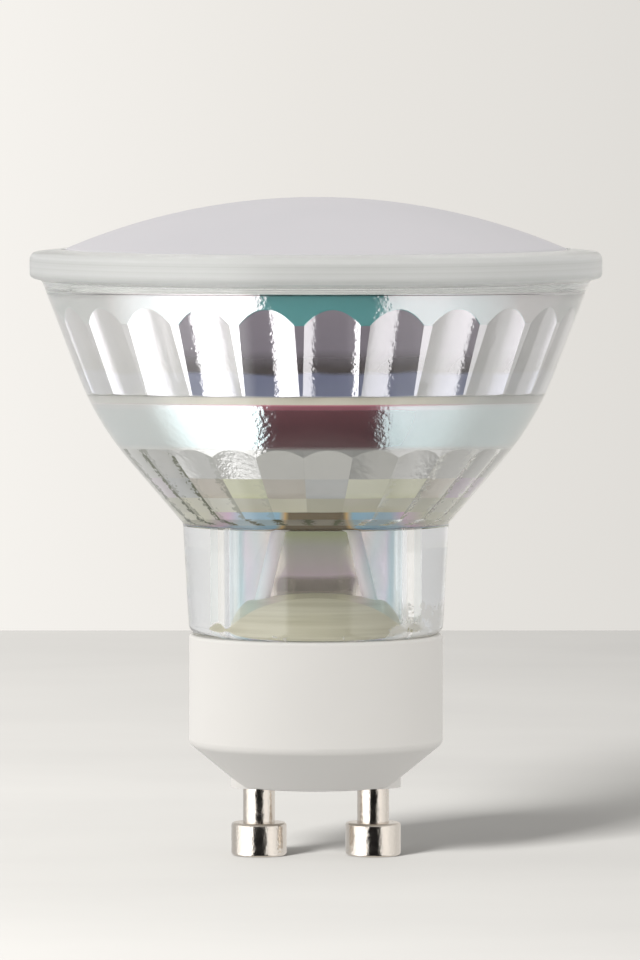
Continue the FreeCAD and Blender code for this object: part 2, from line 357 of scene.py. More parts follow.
def rounded(corners, step=3.0):
    """Points through (radius, height, rounding) corners, with each arc in small steps."""
    points = []
    for i, (r, z, rounding) in enumerate(corners):
        if rounding == 0:
            points.append((r, z))
            continue
        back = math.atan2(corners[i - 1][1] - z, corners[i - 1][0] - r)
        ahead = math.atan2(corners[i + 1][1] - z, corners[i + 1][0] - r)
        opening = (ahead - back + math.pi) % (2 * math.pi) - math.pi
        middle = back + opening / 2
        reach = rounding / math.sin(abs(opening) / 2)
        centre_r = r + reach * math.cos(middle)
        centre_z = z + reach * math.sin(middle)
        sweep = math.copysign(math.pi - abs(opening), opening)
        count = max(2, math.ceil(abs(math.degrees(sweep)) / step))
        for k in range(count + 1):
            way = middle + math.pi + sweep / 2 - sweep * k / count
            points.append((centre_r + rounding * math.cos(way), centre_z + rounding * math.sin(way)))
    return points


def lathe(name, profile, steps=360):
    """Draw a (radius, height) profile in millimetres and spin it about the Z axis."""
    clear_selection()
    bpy.ops.mesh.primitive_plane_add(size=MM)
    piece = bpy.context.object
    piece.name = name
    bpy.ops.object.mode_set(mode="EDIT")
    bpy.ops.mesh.merge(type="CENTER")
    r, z = profile[0]
    bpy.ops.transform.translate(value=(r * MM, 0, z * MM))
    for next_r, next_z in profile[1:]:
        move = ((next_r - r) * MM, 0, (next_z - z) * MM)
        bpy.ops.mesh.extrude_vertices_move(TRANSFORM_OT_translate={"value": move})
        r, z = next_r, next_z
    bpy.ops.mesh.select_all(action="SELECT")
    bpy.ops.mesh.spin(steps=steps, angle=2 * math.pi, center=(0, 0, 0), axis=(0, 0, 1))
    bpy.ops.mesh.select_all(action="SELECT")
    bpy.ops.mesh.remove_doubles(threshold=MERGE_DISTANCE)
    bpy.ops.mesh.normals_make_consistent(inside=False)
    bpy.ops.object.mode_set(mode="OBJECT")
    return piece


def combine(piece, tool, operation):
    """Cut a tool out of a piece, or keep what both share, and take the tool away."""
    clear_selection()
    piece.select_set(True)
    bpy.context.view_layer.objects.active = piece
    bpy.ops.object.modifier_add(type="BOOLEAN")
    modifier = piece.modifiers[-1]
    modifier.operation = operation
    modifier.solver = "EXACT"
    modifier.object = tool
    bpy.ops.object.modifier_apply(modifier=modifier.name)
    bpy.data.objects.remove(tool)


print("lathe ready")

# %% [markdown]
# The glass blank
#
# The outside of the pressed glass: a neck with a rounded foot, a bell that bends at about a
# third of its height, and a heavy rim with a recess for the cover. The sizes are those of
# the CAD source, in millimetres.

# %% Glass blank
Z_FOOT = 19.45
Z_NECK_TOP = 29.2
Z_FLOOR = 30.7
Z_BEND = 38.0
Z_LEDGE = 50.0
Z_RIM = 50.4
Z_RIM_TOP = 53.15
FOOT_RADIUS = 11.1
NECK_RADIUS = 11.65
BEND_RADIUS = 19.2
CUP_RADIUS = 23.95
RIM_RADIUS = 25.0
RECESS_RADIUS = 22.2
CUP_WALL = 2.35
glass = lathe(
    "glass_reflector",
    rounded(
        [
            (0, Z_FOOT, 0),
            (FOOT_RADIUS, Z_FOOT, 0.9),
            (NECK_RADIUS, Z_NECK_TOP, 0.6),
            (BEND_RADIUS, Z_BEND, 26.0),
            (CUP_RADIUS, Z_RIM, 0.35),
            (RIM_RADIUS, Z_RIM + 0.3, 0.45),
            (RIM_RADIUS, Z_RIM_TOP - 0.3, 0.7),
            (RECESS_RADIUS, Z_RIM_TOP, 0.12),
            (RECESS_RADIUS, Z_LEDGE, 0),
            (0, Z_LEDGE, 0),
        ]
    ),
)
print("glass blank with", len(glass.data.polygons), "faces")

# %% [markdown]
# Ribs under the rim
#
# The press leaves 24 shallow ribs in the upper half of the cup. Each is part of a leaning
# cylinder, with a narrow strip of cone between one and the next, and where a rib runs into
# the plain band under the rim the crossing is an arch. The arch needs no drawing: a core
# is turned, 24 cylinders are taken off it, and the core is then cut out of the blank.


# %% Ribbed core
def outer_radius(z):
    """Radius of the cup outside at a height, before its bend is rounded."""
    if z > Z_BEND:
        return BEND_RADIUS + (z - Z_BEND) / (Z_RIM - Z_BEND) * (CUP_RADIUS - BEND_RADIUS)
    return NECK_RADIUS + (z - Z_NECK_TOP) / (Z_BEND - Z_NECK_TOP) * (BEND_RADIUS - NECK_RADIUS)


RIB_COUNT = 24
RIB_PHASE = 3.75
RIB_RADIUS = 12.0
RIB_LENGTH = 40.0
VALLEY_DEPTH = 0.38
BAND_DRAFT = 0.15
ARCH_DROP = 1.2
OVERCUT = 0.5
RING_LOW = 0.513
RING_HIGH = 0.549
z_ring_bottom = Z_FLOOR + RING_LOW * (Z_LEDGE - Z_FLOOR)
z_ring_top = Z_FLOOR + RING_HIGH * (Z_LEDGE - Z_FLOOR)
band_top = outer_radius(Z_LEDGE) - CUP_WALL
band_arch = band_top - BAND_DRAFT * ARCH_DROP
band_ring = band_top - BAND_DRAFT * (Z_LEDGE - z_ring_top)
rib_foot = outer_radius(z_ring_top) - CUP_WALL
lean = math.atan2(band_arch - rib_foot, Z_LEDGE - ARCH_DROP - z_ring_top)
valley_foot = rib_foot + VALLEY_DEPTH
valley_rise = (band_ring - valley_foot) / (math.tan(lean) - BAND_DRAFT)
core = lathe(
    "ribbed_core",
    [
        (0, z_ring_top),
        (valley_foot, z_ring_top),
        (valley_foot + valley_rise * math.tan(lean), z_ring_top + valley_rise),
        (band_top + BAND_DRAFT * OVERCUT, Z_LEDGE + OVERCUT),
        (0, Z_LEDGE + OVERCUT),
    ],
)
clear_selection()
bpy.ops.mesh.primitive_cylinder_add(vertices=360, radius=RIB_RADIUS * MM, depth=RIB_LENGTH * MM)
rib = bpy.context.object
rib.rotation_euler = (0, lean, 0)
rib_r = rib_foot + RIB_RADIUS * math.cos(lean) + RIB_LENGTH / 5 * math.sin(lean)
rib_z = z_ring_top - RIB_RADIUS * math.sin(lean) + RIB_LENGTH / 5 * math.cos(lean)
rib.location = (rib_r * MM, 0, rib_z * MM)
bpy.ops.object.transform_apply(location=True, rotation=True, scale=True)
for k in range(RIB_COUNT):
    clear_selection()
    rib.select_set(True)
    bpy.context.view_layer.objects.active = rib
    bpy.ops.object.duplicate()
    one_rib = bpy.context.object
    one_rib.rotation_euler = (0, 0, math.radians(RIB_PHASE - 90 + k * 360 / RIB_COUNT))
    bpy.ops.object.transform_apply(location=True, rotation=True, scale=True)
    combine(core, one_rib, "DIFFERENCE")
bpy.data.objects.remove(rib)
print("ribbed core with", len(core.data.polygons), "faces, ribs lean", round(math.degrees(lean), 1))
combine(glass, core, "DIFFERENCE")

# %% [markdown]
# Facets round the floor of the cup
#
# Below a plain ring and a smooth band the wall breaks into three rows of flat facets, each
# row a little flatter than the one above. A circle with 24 corners is extruded and widened
# from row to row, and what it shares with a smooth cone is the lower core. The scalloped
# line between the band and the facets is where the two cross.

# %% Facetted core
FACET_SLOPE = 0.82
BOWL_SLOPE_HIGH = 0.445
BOWL_SLOPE_LOW = 0.632
BOWL_BEND_DROP = 2.5
BOWL_ROUND = 30.0
ROW_HIGH = 0.181
ROW_LOW = 0.093
ring_radius = outer_radius(z_ring_bottom) - CUP_WALL
z_row_high = Z_FLOOR + ROW_HIGH * (Z_LEDGE - Z_FLOOR)
z_row_low = Z_FLOOR + ROW_LOW * (Z_LEDGE - Z_FLOOR)
z_core_top = z_ring_top + 2 * OVERCUT
row_high = outer_radius(z_row_high) - CUP_WALL + 0.2
row_low = outer_radius(z_row_low) - CUP_WALL + 0.05
row_floor = outer_radius(Z_FLOOR) - CUP_WALL - 0.5
floor_slope = (row_low - row_floor) / (z_row_low - Z_FLOOR)
z_bowl = z_ring_bottom - BOWL_BEND_DROP
bowl_radius = ring_radius - BOWL_SLOPE_HIGH * BOWL_BEND_DROP
bowl_floor = bowl_radius - BOWL_SLOPE_LOW * (z_bowl - Z_FLOOR)
core = lathe(
    "facetted_core",
    rounded(
        [
            (0, Z_FLOOR, 0),
            (bowl_floor, Z_FLOOR, 0),
            (bowl_radius, z_bowl, BOWL_ROUND),
            (ring_radius, z_ring_bottom, 0),
            (ring_radius, z_core_top, 0),
            (0, z_core_top, 0),
        ],
        1.0,
    ),
)
rows = [
    (row_floor - floor_slope * OVERCUT, Z_FLOOR - OVERCUT),
    (row_low, z_row_low),
    (row_high, z_row_high),
    (row_high + FACET_SLOPE * (z_core_top + OVERCUT - z_row_high), z_core_top + OVERCUT),
]
flat_to_corner = 1 / math.cos(math.pi / RIB_COUNT)
clear_selection()
bpy.ops.mesh.primitive_circle_add(
    vertices=RIB_COUNT,
    radius=rows[0][0] * flat_to_corner * MM,
    fill_type="NGON",
    location=(0, 0, rows[0][1] * MM),
)
facets = bpy.context.object
bpy.ops.object.mode_set(mode="EDIT")
for (low_flat, low_z), (high_flat, high_z) in zip(rows, rows[1:]):
    rise = (0, 0, (high_z - low_z) * MM)
    bpy.ops.mesh.extrude_region_move(TRANSFORM_OT_translate={"value": rise})
    widen = high_flat / low_flat
    bpy.ops.transform.resize(value=(widen, widen, 1), center_override=(0, 0, 0))
bpy.ops.mesh.select_all(action="SELECT")
bpy.ops.mesh.normals_make_consistent(inside=False)
bpy.ops.object.mode_set(mode="OBJECT")
facets.rotation_euler = (0, 0, math.radians(RIB_PHASE + 180 / RIB_COUNT))
bpy.ops.object.transform_apply(location=True, rotation=True, scale=True)
combine(core, facets, "INTERSECT")
combine(glass, core, "DIFFERENCE")
print("glass with", len(glass.data.polygons), "faces after the facets")

# %% [markdown]
# Slot in the neck
#
# The wires come up through a flat slot in the neck. The press makes it with a flat blade,
# and the same is done here: a bar gets rounded upright edges and is cut out of the glass.

# %% Slot
SLOT_WIDTH = 12.0
SLOT_DEPTH = 5.4
SLOT_ROUND = 1.4
SLOT_SEGMENTS = 30
slot_low = Z_FOOT - OVERCUT
slot_high = Z_FLOOR + 2 * OVERCUT
clear_selection()
bpy.ops.mesh.primitive_cube_add(size=1, location=(0, 0, (slot_low + slot_high) / 2 * MM))
slot = bpy.context.object
slot.scale = (SLOT_WIDTH * MM, SLOT_DEPTH * MM, (slot_high - slot_low) * MM)
bpy.ops.object.transform_apply(location=True, rotation=True, scale=True)
bpy.ops.object.mode_set(mode="EDIT")
bpy.ops.mesh.select_all(action="DESELECT")
bpy.ops.object.mode_set(mode="OBJECT")
for edge in slot.data.edges:
    ends = [slot.data.vertices[i].co for i in edge.vertices]
    edge.select = abs(ends[0].z - ends[1].z) > MM
bpy.ops.object.mode_set(mode="EDIT")
bpy.ops.mesh.select_mode(type="EDGE")
bpy.ops.mesh.bevel(offset=SLOT_ROUND * MM, segments=SLOT_SEGMENTS)
bpy.ops.mesh.select_mode(type="VERT")
bpy.ops.object.mode_set(mode="OBJECT")
combine(glass, slot, "DIFFERENCE")
print("slot", SLOT_WIDTH, "by", SLOT_DEPTH, "mm")

# %% [markdown]
# Hollow for the cement
#
# A hollow at the foot of the slot holds the cement. It is a countersink in the CAD model,
# and shows as a low dome through the glass of the neck. A sphere could be squashed for it,
# but a quarter of an ellipse, turned on the lathe, also gives the cement its face.

# %% Hollow
SINK_RADIUS = 6.3
SINK_HEIGHT = 4.0
SINK_STEPS = 24


def dome_profile(spare):
    """Quarter of an ellipse from the foot of the dome up to its top on the axis."""
    points = []
    for k in range(SINK_STEPS + 1):
        way = math.pi / 2 * k / SINK_STEPS
        r = (SINK_RADIUS + spare) * math.cos(way)
        points.append((r, Z_FOOT + (SINK_HEIGHT + spare) * math.sin(way)))
    points[-1] = (0, points[-1][1])
    return points


sink = lathe("sink", [(0, slot_low), (SINK_RADIUS, slot_low)] + dome_profile(0.0))
combine(glass, sink, "DIFFERENCE")
print("hollow", SINK_HEIGHT, "mm high")

# %% [markdown]
# Closing the glass
#
# The cuts leave doubled points and flat shading. The points are merged, and only edges that
# turn by more than a few degrees stay sharp, so facets keep their edges and the turned walls
# look round. The piece then takes the place of the CAD glass.

# %% Glass piece
CREASE_ANGLE = 4.0
clear_selection()
glass.select_set(True)
bpy.context.view_layer.objects.active = glass
bpy.ops.object.mode_set(mode="EDIT")
bpy.ops.mesh.select_all(action="SELECT")
bpy.ops.mesh.remove_doubles(threshold=MERGE_DISTANCE)
bpy.ops.mesh.normals_make_consistent(inside=False)
bpy.ops.object.mode_set(mode="OBJECT")
bpy.ops.object.shade_smooth_by_angle(angle=math.radians(CREASE_ANGLE))
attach(glass, "root")
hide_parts("glass_body")
print("glass finished with", len(glass.data.polygons), "faces")

# %% [markdown]
# Where the mirror film lies
#
# The cup is clear glass whose inner face carries a thin interference film. Seen from
# outside, light passes the glass, meets the film and comes back. A second shell inside the
# cup could carry the film, but the gap between the two would show. So the film is part of
# the glass finish, and the glass in front of it really refracts. Height and distance from
# the axis tell the inner face from the outer one.

# %% Film area
glass_finish, tree = new_finish("filmed_glass")
place = add_node(tree, "TexCoord").outputs["Object"]
px, py, pz = add_node(tree, "SeparateXYZ", Vector=place).outputs


def line_through(tree, value, low, high, at_low, at_high):
    """Straight line through two points in millimetres, carried on past both."""
    node = add_node(
        tree,
        "MapRange",
        {"clamp": False},
        Value=value,
        From_Min=low * MM,
        From_Max=high * MM,
        To_Min=at_low * MM,
        To_Max=at_high * MM,
    )
    return node.outputs[0]


def flat_distance(tree, x, y):
    """Length of the way from the middle to (x, y), seen from above."""
    flat_place = add_node(tree, "CombineXYZ", X=x, Y=y).outputs[0]
    return add_node(tree, "VectorMath", {"operation": "LENGTH"}, i0=flat_place).outputs["Value"]


HALF_WALL = CUP_WALL / 2
FLOOR_MARGIN = 0.05
LEDGE_MARGIN = 0.03
radius = flat_distance(tree, px, py)
bend_middle = BEND_RADIUS - HALF_WALL
upper_line = line_through(tree, pz, Z_BEND, Z_RIM, bend_middle, CUP_RADIUS - HALF_WALL)
lower_line = line_through(tree, pz, Z_NECK_TOP, Z_BEND, NECK_RADIUS - HALF_WALL, bend_middle)
inside = maths(tree, "LESS_THAN", radius, maths(tree, "MINIMUM", upper_line, lower_line))
above_floor = maths(tree, "GREATER_THAN", pz, (Z_FLOOR - FLOOR_MARGIN) * MM)
below_ledge = maths(tree, "LESS_THAN", pz, (Z_LEDGE - LEDGE_MARGIN) * MM)
filmed = all_of(tree, inside, above_floor, below_ledge)
film_height = share_of(tree, pz, Z_FLOOR * MM, Z_LEDGE * MM)
print("film lies from", Z_FLOOR, "to", Z_LEDGE, "mm")

# %% [markdown]
# Colours of the film by height
#
# The film has a weak colour of its own that changes with its thickness: teal under the rim,
# violet on the ribs, maroon in the smooth band and cream at the floor. A thin-film setting
# on the glass gives such colours too, but not in chosen places. A ramp by height does, and
# a soft noise makes its borders on the ribs uneven.

# %% Film colours
DRIFT = 0.012
BAND_MARGIN = 0.02
TEAL = (0.30, 0.82, 0.84, 1)
patchy = noise(tree, place, 170.0, 3.0)
uneven = add_node(
    tree, "MapRange", Value=patchy, From_Min=0.3, From_Max=0.7, To_Min=-DRIFT, To_Max=DRIFT
)
on_ribs = maths(tree, "GREATER_THAN", film_height, 0.57)
drifting = maths(tree, "MULTIPLY", uneven.outputs[0], on_ribs)
film_wall_colour = add_ramp(
    tree,
    maths(tree, "ADD", film_height, drifting),
    [
        (0.00, (0.86, 0.84, 0.68)),
        (0.09, (0.84, 0.82, 0.68)),
        (0.18, (0.62, 0.62, 0.61)),
        (0.31, (0.62, 0.62, 0.60)),
        (0.33, (0.30, 0.12, 0.14)),
        (0.42, (0.34, 0.15, 0.17)),
        (0.485, (0.42, 0.17, 0.20)),
        (0.495, (0.86, 0.34, 0.42)),
        (0.513, (0.86, 0.34, 0.42)),
        (0.515, (0.95, 0.90, 0.76)),
        (0.548, (0.95, 0.90, 0.76)),
        (0.552, (0.62, 0.68, 0.98)),
        (0.64, (0.62, 0.66, 0.95)),
        (0.66, (0.26, 0.22, 0.20)),
        (0.69, (0.34, 0.30, 0.31)),
        (0.76, (0.80, 0.72, 0.84)),
        (0.94, (0.88, 0.78, 0.90)),
    ],
)
band_line = line_through(tree, pz, z_ring_top, Z_LEDGE, band_ring, band_top)
off_band = maths(tree, "ABSOLUTE", maths(tree, "SUBTRACT", radius, band_line))
on_band = maths(tree, "LESS_THAN", off_band, BAND_MARGIN * MM)
banded = blend(tree, on_band, film_wall_colour, TEAL)
print("film colours ready")

# %% [markdown]
# Painted reflections on the facets
#
# Every facet leans a little differently and would mirror another part of the room, so no two
# have the same tone. Those tones are painted reflections in the film colour. They could be
# painted facet by facet. Here each facet has a number, and the number draws a depth of
# painted tone and, in the middle row, a painted tint. The draw is by chance but the same in
# every run.


# %% Facet tones, painted reflections
def drawn(tree, number):
    """A chance value from 0 to 1 that belongs to a number."""
    return add_node(tree, "TexWhiteNoise", {"noise_dimensions": "1D"}, W=number).outputs["Value"]


FACET_TOP = 0.31
FACET_SHIFT = 0.5 + RIB_PHASE * RIB_COUNT / 360
LOW_SEED = 37.0
HIGH_SEED = 53.0
# painted reflections: the dark and the light tone that some facets take
FACET_PAINTED_DARK = (0.30, 0.30, 0.26, 1)
FACET_PAINTED_LIGHT = (1.0, 1.0, 0.96, 1)
turn = maths(tree, "ARCTAN2", py, px)
ribs_round = maths(tree, "MULTIPLY", turn, RIB_COUNT / (2 * math.pi))
facet_turn = maths(tree, "SUBTRACT", ribs_round, FACET_SHIFT)
facet_number = maths(tree, "FLOOR", facet_turn)
# painted reflection tints for the facets of the middle row
facet_painted_tint = add_ramp(
    tree,
    drawn(tree, facet_number),
    [
        (0.00, (0.80, 0.62, 0.84)),
        (0.25, (0.66, 0.56, 0.44)),
        (0.40, (0.80, 0.82, 0.46)),
        (0.55, (0.62, 0.66, 0.72)),
        (0.70, (0.84, 0.74, 0.90)),
        (0.85, (0.52, 0.46, 0.40)),
    ],
    "CONSTANT",
)
over_low = maths(tree, "GREATER_THAN", pz, z_row_low * MM)
under_high = maths(tree, "LESS_THAN", pz, z_row_high * MM)
middle_row = maths(tree, "MULTIPLY", over_low, under_high)
tinted = blend(tree, maths(tree, "MULTIPLY", middle_row, 0.85), banded, facet_painted_tint)
high_seed = maths(tree, "MULTIPLY", under_high, HIGH_SEED)
row_number = maths(tree, "MULTIPLY_ADD", over_low, LOW_SEED, high_seed)
tone_luck = drawn(tree, maths(tree, "ADD", facet_number, row_number))
on_facets = maths(tree, "LESS_THAN", film_height, FACET_TOP)
# painted reflections: the draw makes some facets darker and some lighter
darker = maths(tree, "MULTIPLY", share_of(tree, tone_luck, 0.55, 0.0), 0.4)
lighter = maths(tree, "MULTIPLY", share_of(tree, tone_luck, 0.6, 1.0), 0.6)
toned = blend(tree, darker, tinted, FACET_PAINTED_DARK)
faceted = blend(tree, on_facets, tinted, blend(tree, lighter, toned, FACET_PAINTED_LIGHT))
print("tones for", RIB_COUNT, "facets in each row")

# %% [markdown]
# Foot of the film
#
# On the lowest half millimetre or so of its wall the film runs out and shows its colours in
# turn. Over the slot it is brown. To both sides follow orange, blue, pink and cream. A ramp
# by the distance sideways lays them in that order.

# %% Foot colours
FOOT_SHARE = 0.032
FOOT_REACH = 10.0
foot_colour = add_ramp(
    tree,
    share_of(tree, maths(tree, "ABSOLUTE", px), 0.0, FOOT_REACH * MM),
    [
        (0.22, (0.20, 0.14, 0.07)),
        (0.25, (0.86, 0.58, 0.24)),
        (0.30, (0.42, 0.74, 1.00)),
        (0.60, (0.55, 0.78, 1.00)),
        (0.70, (0.95, 0.66, 0.95)),
        (0.86, (0.86, 0.84, 0.68)),
    ],
)
at_foot = maths(tree, "LESS_THAN", film_height, FOOT_SHARE)
film_colour = blend(tree, at_foot, faceted, foot_colour)
print("foot colours reach", FOOT_REACH, "mm to each side")

# %% [markdown]
# Painted sheen and flecks
#
# A film on glass has a sheen: where it is met at a slant it pales and spreads the light. Here
# that sheen is painted, as a paler film colour. Layer Weight gives the slant. The facets lean
# more than the ribs, so their painted sheen starts later. Near the facet edges the press has
# roughened the film, and flecks lie there. Their colour is painted light: a painted glint on
# the right and a painted dark reflection on the left.

# %% Painted sheen and flecks
# painted sheen: the pale tone the film takes where it is met at a slant
PAINTED_SHEEN_TONE = (0.80, 0.80, 0.77, 1)
# fleck colours are painted light: painted dark on the left, a painted glint on the right
FLECK_PAINTED_DARK = (0.16, 0.17, 0.11)
FLECK_PAINTED_GLINT = (1.0, 1.0, 0.90)
FLECK_BORDER = 0.62
slant = add_node(tree, "LayerWeight", Blend=0.5).outputs["Facing"]
low_row = maths(tree, "SUBTRACT", 1.0, over_low)
lean_of_row = maths(tree, "MULTIPLY_ADD", on_facets, 0.095, maths(tree, "MULTIPLY", low_row, 0.05))
soft = share_of(tree, maths(tree, "SUBTRACT", slant, lean_of_row), 0.07, 0.17)
painted_sheen_share = maths(tree, "SUBTRACT", 0.9, maths(tree, "MULTIPLY", on_facets, 0.5))
# painted sheen blended into the film colour by the slant
pale = blend(tree, maths(tree, "MULTIPLY", soft, painted_sheen_share), film_colour, PAINTED_SHEEN_TONE)
edge_turn = maths(tree, "FRACT", facet_turn)
edge_near = maths(tree, "ABSOLUTE", maths(tree, "SUBTRACT", edge_turn, 0.5))
fleck_noise = noise(tree, place, 2400.0, 4.0, 0.65)
fleck_level = maths(tree, "MULTIPLY_ADD", edge_near, 0.9, fleck_noise)
fleck = all_of(tree, share_of(tree, fleck_level, 0.80, 0.86), soft, on_facets)
# flecks to the right take the painted glint, those to the left the painted dark
painted_glint_side = maths(tree, "MULTIPLY_ADD", px, 40.0, patchy)
fleck_stops = [(0.0, FLECK_PAINTED_DARK), (FLECK_BORDER, FLECK_PAINTED_GLINT)]
fleck_painted_colour = add_ramp(tree, painted_glint_side, fleck_stops, "CONSTANT")
tint = blend(tree, fleck, pale, fleck_painted_colour)
print("sheen and flecks ready")

# %% [markdown]
# How much is mirror
#
# The film is part mirror and part colour. The share of mirror goes by height: much on the
# ribs and in the smooth band, little on the plain ring and in the lowest row of facets. The
# mirror has a faint colour too, cyan in the smooth band and rose in the band under the rim.

# %% Mirror share
BAND_MIRROR = (0.55, 0.55, 0.55, 1)
ROSE = (0.98, 0.82, 0.84, 1)
share_by_height = add_ramp(
    tree,
    film_height,
    [
        (0.000, grey(0.14)),
        (0.090, grey(0.14)),
        (0.120, grey(0.36)),
        (0.310, grey(0.36)),
        (0.330, grey(0.60)),
        (0.505, grey(0.60)),
        (0.513, grey(0.08)),
        (0.548, grey(0.08)),
        (0.552, grey(0.64)),
        (1.000, grey(0.64)),
    ],
)
band_share = blend(tree, on_band, share_by_height, BAND_MIRROR)
soft_loss = maths(tree, "SUBTRACT", 1.0, maths(tree, "MULTIPLY", soft, 0.5))
even_share = maths(tree, "MULTIPLY", band_share, soft_loss)
glint = maths(tree, "MULTIPLY", fleck, maths(tree, "GREATER_THAN", painted_glint_side, FLECK_BORDER))
mirror_share = maths(tree, "MAXIMUM", even_share, maths(tree, "MULTIPLY", glint, 0.8))
mirror_by_height = add_ramp(
    tree,
    film_height,
    [
        (0.310, (0.90, 0.89, 0.88)),
        (0.330, (0.76, 0.96, 0.98)),
        (0.505, (0.76, 0.96, 0.98)),
        (0.520, (0.90, 0.88, 0.90)),
    ],
)
mirror_colour = blend(tree, on_band, mirror_by_height, ROSE)
print("mirror share ready")

# %% [markdown]
# Grain of the film
#
# The press leaves a fine grain in the glass, which frays the edges of what the film mirrors.
# It is far too fine to model, so a bump stands for it, deeper where the flecks are. Mirror
# and colour are then mixed into the whole film.

# %% Film
GRAIN_DEPTH = 0.03 * MM
ripple = noise(tree, place, 2600.0, 2.0)
grain_strength = add_node(tree, "MapRange", Value=fleck, To_Min=0.5, To_Max=1.0).outputs[0]
film_mirror = add_node(
    tree,
    "BsdfPrincipled",
    Base_Color=mirror_colour,
    Metallic=1.0,
    Roughness=0.03,
    Normal=bumped(tree, ripple, grain_strength, GRAIN_DEPTH),
)
film_tint = add_node(
    tree, "BsdfPrincipled", Base_Color=tint, Roughness=0.5, Specular_IOR_Level=0.0
)
film = mix_shaders(tree, mirror_share, film_tint, film_mirror)
print("film ready")

# %% [markdown]
# Clear glass and milky rim
#
# The neck and the outer wall are clear, with a slight swell from the mould. The rim is milky,
# with faint lines round it, so part of its light is scattered instead of passed. Lamp light
# is let straight through the clear glass, because bent rays rarely find a lamp and would
# leave a black shadow.

# %% Clear glass
CLEAR_TONE = (0.975, 0.978, 0.97, 1)
PASSING_TONE = (0.92, 0.93, 0.92, 1)
swell = noise(tree, place, 420.0, 2.0)
rim_share = share_of(tree, pz, (Z_LEDGE + 0.1) * MM, (Z_LEDGE + 0.5) * MM)
rim_lines = add_node(
    tree, "TexNoise", {"noise_dimensions": "1D"}, W=pz, Scale=2600.0, Detail=2.0
).outputs["Fac"]
milky = add_ramp(tree, rim_lines, [(0.35, (0.84, 0.85, 0.83)), (0.62, (0.95, 0.955, 0.945))])
clear_colour = blend(tree, rim_share, CLEAR_TONE, milky)
clear = add_node(
    tree,
    "BsdfPrincipled",
    Roughness=maths(tree, "MULTIPLY", rim_share, 0.3),
    IOR=1.5,
    Transmission_Weight=maths(tree, "SUBTRACT", 1.0, maths(tree, "MULTIPLY", rim_share, 0.5)),
    Normal=bumped(tree, swell, 0.05, 0.1 * MM),
)
passing = add_node(tree, "BsdfTransparent", Color=PASSING_TONE)
lamp_ray = add_node(tree, "LightPath").outputs["Is Shadow Ray"]
clear_glass = mix_shaders(tree, lamp_ray, clear, passing)
print("clear glass ready")

# %% [markdown]
# Film in the slot
#
# The walls of the slot carry a thinner film, denser on the far wall, that lets the wires
# show. Up the middle it goes from dark brown through violet grey to olive, and towards the
# ends it is cream, pink and cyan. As the film is thin, most of its colour comes from light
# that passes it. So it tints the glass and adds only a light cover.

# %% Slot colours
SLOT_REACH = 8.2
DOME_MARGIN = 1.03
in_slot = maths(tree, "LESS_THAN", radius, SLOT_REACH * MM)
dome_rise = share_of(tree, pz, Z_FOOT * MM, (Z_FOOT + SINK_HEIGHT) * MM)
dome_wide = maths(tree, "POWER", maths(tree, "DIVIDE", radius, SINK_RADIUS * MM), 2.0)
dome_high = maths(tree, "POWER", dome_rise, 2.0)
over_sink = maths(tree, "GREATER_THAN", maths(tree, "ADD", dome_wide, dome_high), DOME_MARGIN)
under_floor = maths(tree, "LESS_THAN", pz, (Z_FLOOR - FLOOR_MARGIN) * MM)
slot_wall = all_of(tree, in_slot, over_sink, under_floor)
drift = noise(tree, place, 220.0, 2.0)
uneven_side = maths(tree, "MULTIPLY", drift, 0.3)
sideways = maths(tree, "ABSOLUTE", px)
across = maths(tree, "MULTIPLY_ADD", sideways, 1 / (SLOT_WIDTH / 2 * MM), uneven_side)
side_colour = add_ramp(
    tree,
    across,
    [
        (0.46, (0.95, 0.92, 0.66)),
        (0.66, (0.94, 0.60, 0.92)),
        (0.84, (0.34, 0.82, 1.00)),
        (1.00, (0.72, 0.88, 0.98)),
    ],
)
slot_height = share_of(tree, pz, (Z_FOOT + SINK_HEIGHT) * MM, Z_FLOOR * MM)
middle_colour = add_ramp(
    tree,
    maths(tree, "ADD", slot_height, maths(tree, "MULTIPLY", drift, 0.12)),
    [
        (0.06, (0.13, 0.09, 0.09)),
        (0.22, (0.22, 0.16, 0.17)),
        (0.28, (0.72, 0.56, 0.72)),
        (0.62, (0.64, 0.62, 0.63)),
        (0.80, (0.58, 0.66, 0.36)),
        (0.96, (0.50, 0.50, 0.34)),
        (1.00, (0.20, 0.13, 0.05)),
    ],
)
slot_colour = blend(tree, share_of(tree, across, 0.40, 0.46), middle_colour, side_colour)
tinted_glass = blend(tree, maths(tree, "MULTIPLY", slot_wall, 0.4), clear_colour, side_colour)
tree.links.new(tinted_glass, clear.inputs["Base Color"])
print("slot colours over", SLOT_WIDTH, "mm")

# %% [markdown]
# Cover of the slot film
#
# How much the slot film hides also goes by place: most in the middle, between the wires, and
# less towards the ends. The near wall has little of it, so that the wires behind it show.

# %% Slot film
NEAR_GAIN = 0.25
FAR_GAIN = 1.5
SLOT_MIRROR = 0.3
slot_tint = add_node(tree, "BsdfPrincipled", Base_Color=slot_colour, Roughness=0.35)
slot_film = mix_shaders(tree, SLOT_MIRROR, slot_tint, film_mirror)
slot_cover = add_ramp(
    tree,
    across,
    [(0.40, grey(0.55)), (0.47, grey(0.17)), (0.66, grey(0.18)), (0.78, grey(0.24))],
)
far_wall = maths(tree, "GREATER_THAN", py, 0.0)
wall_gain = add_node(tree, "MapRange", Value=far_wall, To_Min=NEAR_GAIN, To_Max=FAR_GAIN).outputs[0]
slot_share = maths(tree, "MULTIPLY", slot_wall, maths(tree, "MULTIPLY", slot_cover, wall_gain))
with_slot = mix_shaders(tree, slot_share, clear_glass, slot_film)
print("slot film ready")

# %% [markdown]
# Cement smears
#
# Round the foot of the neck the cement has left a few rough smears, higher up on the right.
# They are thinner than a hair, so they need no mesh: a noise that must pass a level gives
# their ragged edges, and the level is easier to pass near the foot.

